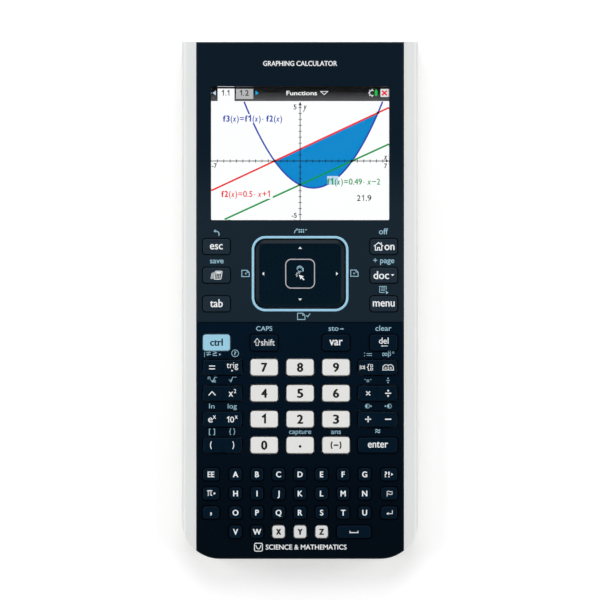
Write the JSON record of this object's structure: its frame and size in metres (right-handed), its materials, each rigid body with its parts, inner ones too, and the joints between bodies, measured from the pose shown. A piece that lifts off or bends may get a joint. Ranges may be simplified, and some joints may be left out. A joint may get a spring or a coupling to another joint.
{
  "type": "graphing calculator",
  "caption": "Flat handheld calculator with a colour display, tilting touchpad, number and letter keys, navy face and white side rails.",
  "frame": {"origin": "middle of the rubber feet's plane, under the centre of the case", "axes": "+Z out of the face, +Y towards the display end, +X to the right of the face"},
  "size_m": [0.0864, 0.1886, 0.0159],
  "materials": {
    "pale_shell": "fine matt texture",
    "white_rail": "smooth satin",
    "navy_shell": "fine matt texture",
    "slate_faceplate": "fine matt texture",
    "clear_window": "polished clear",
    "display_glass": "lit colour display",
    "frame_metal": "pressed sheet",
    "polyimide": "flexible film",
    "green_board": "solder mask",
    "silicone": "moulded silicone",
    "touchpad_plastic": "fine matt texture",
    "spring_steel": "rolled sheet",
    "light_blue": "smooth satin",
    "battery_wrap": "shrink film",
    "gold_contact": "plated",
    "screw_steel": "zinc plated",
    "socket_metal": "plated",
    "connector_plastic": "moulded",
    "grey_rubber": "moulded",
    "dark_plastic": "moulded",
    "light_blue_key": "fine satin",
    "white_key": "fine satin",
    "digit_key": "fine satin",
    "slate_key": "fine satin",
    "navy_key": "fine satin"
  },
  "bodies": {
    "case": {"rear_housing": "pale_shell", "front_housing": "navy_shell", "upper_faceplate": "slate_faceplate", "right_side_rail": "white_rail", "left_side_rail": "white_rail", "display_window": "clear_window", "lcd_panel": "display_glass", "backlight_frame": "frame_metal", "display_cable": "polyimide", "circuit_board": "green_board", "keypad_membrane": "silicone", "touchpad_ring": "light_blue", "battery_pack": "battery_wrap", "battery_contacts": "gold_contact", "housing_screws": "screw_steel", "usb_socket": "socket_metal", "dock_connector": "connector_plastic", "rubber_feet": "grey_rubber"},
    "key_0": {"key_0": "digit_key"},
    "key_point": {"key_point": "digit_key"},
    "key_negative": {"key_negative": "digit_key"},
    "key_1": {"key_1": "digit_key"},
    "key_2": {"key_2": "digit_key"},
    "key_3": {"key_3": "digit_key"},
    "key_4": {"key_4": "digit_key"},
    "key_5": {"key_5": "digit_key"},
    "key_6": {"key_6": "digit_key"},
    "key_7": {"key_7": "digit_key"},
    "key_8": {"key_8": "digit_key"},
    "key_9": {"key_9": "digit_key"},
    "key_control": {"key_control": "light_blue_key"},
    "key_shift": {"key_shift": "navy_key"},
    "key_variable": {"key_variable": "navy_key"},
    "key_delete": {"key_delete": "navy_key"},
    "rocker_brackets": {"rocker_brackets": "navy_key"},
    "key_enter": {"key_enter": "navy_key"},
    "rocker_exponentials": {"rocker_exponentials": "navy_key"},
    "rocker_plus_minus": {"rocker_plus_minus": "navy_key"},
    "rocker_powers": {"rocker_powers": "navy_key"},
    "rocker_times_divide": {"rocker_times_divide": "navy_key"},
    "rocker_equals_trig": {"rocker_equals_trig": "navy_key"},
    "rocker_templates_catalog": {"rocker_templates_catalog": "navy_key"},
    "key_tab": {"key_tab": "slate_key"},
    "key_menu": {"key_menu": "slate_key"},
    "key_scratchpad": {"key_scratchpad": "slate_key"},
    "key_document": {"key_document": "slate_key"},
    "key_escape": {"key_escape": "slate_key"},
    "key_home": {"key_home": "slate_key"},
    "letter_row_1": {"letter_row_1": "navy_key"},
    "letter_row_2": {"letter_row_2": "navy_key"},
    "letter_row_3": {"letter_row_3": "navy_key"},
    "letter_row_4": {"letter_row_4": "navy_key"},
    "axis_letter_keys": {"axis_letter_keys": "white_key"},
    "touchpad_spring": {"touchpad_spring": "spring_steel"},
    "touchpad_sensor": {"touchpad_sensor": "green_board"},
    "touchpad": {"touchpad": "touchpad_plastic"},
    "battery_door": {"battery_door": "pale_shell", "battery_door_screws": "screw_steel"},
    "reset_button": {"reset_button": "dark_plastic"}
  },
  "joints": [
    {"name": "key_0_press", "type": "slide", "parent": "case", "child": "key_0", "axis": [0, 0, -1], "range_m": [0, 0.001], "stiffness_N_per_m": 400, "springref_m": -0.00025},
    {"name": "key_point_press", "type": "slide", "parent": "case", "child": "key_point", "axis": [0, 0, -1], "range_m": [0, 0.001], "stiffness_N_per_m": 400, "springref_m": -0.00025},
    {"name": "key_negative_press", "type": "slide", "parent": "case", "child": "key_negative", "axis": [0, 0, -1], "range_m": [0, 0.001], "stiffness_N_per_m": 400, "springref_m": -0.00025},
    {"name": "key_1_press", "type": "slide", "parent": "case", "child": "key_1", "axis": [0, 0, -1], "range_m": [0, 0.001], "stiffness_N_per_m": 400, "springref_m": -0.00025},
    {"name": "key_2_press", "type": "slide", "parent": "case", "child": "key_2", "axis": [0, 0, -1], "range_m": [0, 0.001], "stiffness_N_per_m": 400, "springref_m": -0.00025},
    {"name": "key_3_press", "type": "slide", "parent": "case", "child": "key_3", "axis": [0, 0, -1], "range_m": [0, 0.001], "stiffness_N_per_m": 400, "springref_m": -0.00025},
    {"name": "key_4_press", "type": "slide", "parent": "case", "child": "key_4", "axis": [0, 0, -1], "range_m": [0, 0.001], "stiffness_N_per_m": 400, "springref_m": -0.00025},
    {"name": "key_5_press", "type": "slide", "parent": "case", "child": "key_5", "axis": [0, 0, -1], "range_m": [0, 0.001], "stiffness_N_per_m": 400, "springref_m": -0.00025},
    {"name": "key_6_press", "type": "slide", "parent": "case", "child": "key_6", "axis": [0, 0, -1], "range_m": [0, 0.001], "stiffness_N_per_m": 400, "springref_m": -0.00025},
    {"name": "key_7_press", "type": "slide", "parent": "case", "child": "key_7", "axis": [0, 0, -1], "range_m": [0, 0.001], "stiffness_N_per_m": 400, "springref_m": -0.00025},
    {"name": "key_8_press", "type": "slide", "parent": "case", "child": "key_8", "axis": [0, 0, -1], "range_m": [0, 0.001], "stiffness_N_per_m": 400, "springref_m": -0.00025},
    {"name": "key_9_press", "type": "slide", "parent": "case", "child": "key_9", "axis": [0, 0, -1], "range_m": [0, 0.001], "stiffness_N_per_m": 400, "springref_m": -0.00025},
    {"name": "key_control_press", "type": "slide", "parent": "case", "child": "key_control", "axis": [0, 0, -1], "range_m": [0, 0.001], "stiffness_N_per_m": 400, "springref_m": -0.00025},
    {"name": "key_shift_press", "type": "slide", "parent": "case", "child": "key_shift", "axis": [0, 0, -1], "range_m": [0, 0.001], "stiffness_N_per_m": 400, "springref_m": -0.00025},
    {"name": "key_variable_press", "type": "slide", "parent": "case", "child": "key_variable", "axis": [0, 0, -1], "range_m": [0, 0.001], "stiffness_N_per_m": 400, "springref_m": -0.00025},
    {"name": "key_delete_press", "type": "slide", "parent": "case", "child": "key_delete", "axis": [0, 0, -1], "range_m": [0, 0.001], "stiffness_N_per_m": 400, "springref_m": -0.00025},
    {"name": "rocker_brackets_tilt", "type": "hinge", "parent": "case", "child": "rocker_brackets", "pos_m": [-0.02829, -0.05278, 0.0134], "axis": [0, 1, 0], "range_deg": [-3, 3], "stiffness_Nm_per_rad": 0.02},
    {"name": "key_enter_press", "type": "slide", "parent": "case", "child": "key_enter", "axis": [0, 0, -1], "range_m": [0, 0.001], "stiffness_N_per_m": 400, "springref_m": -0.00025},
    {"name": "rocker_exponentials_tilt", "type": "hinge", "parent": "case", "child": "rocker_exponentials", "pos_m": [-0.02829, -0.04332, 0.0134], "axis": [0, 1, 0], "range_deg": [-3, 3], "stiffness_Nm_per_rad": 0.02},
    {"name": "rocker_plus_minus_tilt", "type": "hinge", "parent": "case", "child": "rocker_plus_minus", "pos_m": [0.02829, -0.04332, 0.0134], "axis": [0, 1, 0], "range_deg": [-3, 3], "stiffness_Nm_per_rad": 0.02},
    {"name": "rocker_powers_tilt", "type": "hinge", "parent": "case", "child": "rocker_powers", "pos_m": [-0.02829, -0.03386, 0.0134], "axis": [0, 1, 0], "range_deg": [-3, 3], "stiffness_Nm_per_rad": 0.02},
    {"name": "rocker_times_divide_tilt", "type": "hinge", "parent": "case", "child": "rocker_times_divide", "pos_m": [0.02829, -0.03386, 0.0134], "axis": [0, 1, 0], "range_deg": [-3, 3], "stiffness_Nm_per_rad": 0.02},
    {"name": "rocker_equals_trig_tilt", "type": "hinge", "parent": "case", "child": "rocker_equals_trig", "pos_m": [-0.02829, -0.0244, 0.0134], "axis": [0, 1, 0], "range_deg": [-3, 3], "stiffness_Nm_per_rad": 0.02},
    {"name": "rocker_templates_catalog_tilt", "type": "hinge", "parent": "case", "child": "rocker_templates_catalog", "pos_m": [0.02829, -0.0244, 0.0134], "axis": [0, 1, 0], "range_deg": [-3, 3], "stiffness_Nm_per_rad": 0.02},
    {"name": "key_tab_press", "type": "slide", "parent": "case", "child": "key_tab", "axis": [0, 0, -1], "range_m": [0, 0.001], "stiffness_N_per_m": 400, "springref_m": -0.00025},
    {"name": "key_menu_press", "type": "slide", "parent": "case", "child": "key_menu", "axis": [0, 0, -1], "range_m": [0, 0.001], "stiffness_N_per_m": 400, "springref_m": -0.00025},
    {"name": "key_scratchpad_press", "type": "slide", "parent": "case", "child": "key_scratchpad", "axis": [0, 0, -1], "range_m": [0, 0.001], "stiffness_N_per_m": 400, "springref_m": -0.00025},
    {"name": "key_document_press", "type": "slide", "parent": "case", "child": "key_document", "axis": [0, 0, -1], "range_m": [0, 0.001], "stiffness_N_per_m": 400, "springref_m": -0.00025},
    {"name": "key_escape_press", "type": "slide", "parent": "case", "child": "key_escape", "axis": [0, 0, -1], "range_m": [0, 0.001], "stiffness_N_per_m": 400, "springref_m": -0.00025},
    {"name": "key_home_press", "type": "slide", "parent": "case", "child": "key_home", "axis": [0, 0, -1], "range_m": [0, 0.001], "stiffness_N_per_m": 400, "springref_m": -0.00025},
    {"name": "letter_row_1_press", "type": "slide", "parent": "case", "child": "letter_row_1", "axis": [0, 0, -1], "range_m": [0, 0.001], "stiffness_N_per_m": 800, "springref_m": -0.00025},
    {"name": "letter_row_2_press", "type": "slide", "parent": "case", "child": "letter_row_2", "axis": [0, 0, -1], "range_m": [0, 0.001], "stiffness_N_per_m": 800, "springref_m": -0.00025},
    {"name": "letter_row_3_press", "type": "slide", "parent": "case", "child": "letter_row_3", "axis": [0, 0, -1], "range_m": [0, 0.001], "stiffness_N_per_m": 800, "springref_m": -0.00025},
    {"name": "letter_row_4_press", "type": "slide", "parent": "case", "child": "letter_row_4", "axis": [0, 0, -1], "range_m": [0, 0.001], "stiffness_N_per_m": 800, "springref_m": -0.00025},
    {"name": "axis_letter_keys_press", "type": "slide", "parent": "case", "child": "axis_letter_keys", "axis": [0, 0, -1], "range_m": [0, 0.001], "stiffness_N_per_m": 800, "springref_m": -0.00025},
    {"name": "touchpad_click", "type": "slide", "parent": "case", "child": "touchpad_spring", "axis": [0, 0, -1], "range_m": [0, 0.0004], "stiffness_N_per_m": 2000, "springref_m": -0.0001},
    {"name": "touchpad_up_down", "type": "hinge", "parent": "touchpad_spring", "child": "touchpad_sensor", "pos_m": [0, 0.00975, 0.0115], "axis": [1, 0, 0], "range_deg": [-2, 2], "stiffness_Nm_per_rad": 0.2},
    {"name": "touchpad_left_right", "type": "hinge", "parent": "touchpad_sensor", "child": "touchpad", "pos_m": [0, 0.00975, 0.0125], "axis": [0, 1, 0], "range_deg": [-1.5, 1.5], "stiffness_Nm_per_rad": 0.2},
    {"name": "battery_door_lift_off", "type": "slide", "parent": "case", "child": "battery_door", "axis": [0, 0, -1], "range_m": [0, 0.03]},
    {"name": "reset_button_press", "type": "slide", "parent": "case", "child": "reset_button", "axis": [0, 0, 1], "range_m": [0, 0.0004], "stiffness_N_per_m": 300, "springref_m": -0.0002}
  ]
}
